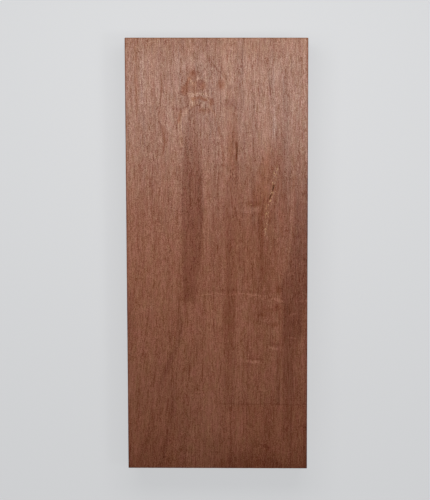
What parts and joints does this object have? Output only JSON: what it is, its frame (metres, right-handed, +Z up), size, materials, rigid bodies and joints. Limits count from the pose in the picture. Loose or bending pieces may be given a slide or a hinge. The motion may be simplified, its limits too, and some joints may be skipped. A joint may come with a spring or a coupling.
{
  "type": "wood turning blank",
  "caption": "Squared hardwood turning blank: a planed red-brown board with eased long edges and cross-cut ends, stock to be shaped on a lathe.",
  "frame": {"origin": "middle of the back face, which rests on the floor or bench", "axes": "+Y along the grain towards the head end, +X across the width, +Z up through the thickness to the show face"},
  "size_m": [0.152, 0.363, 0.051],
  "materials": {
    "wood": "bare planed hardwood, satin"
  },
  "bodies": {
    "root": {"blank": "wood"}
  },
  "joints": []
}
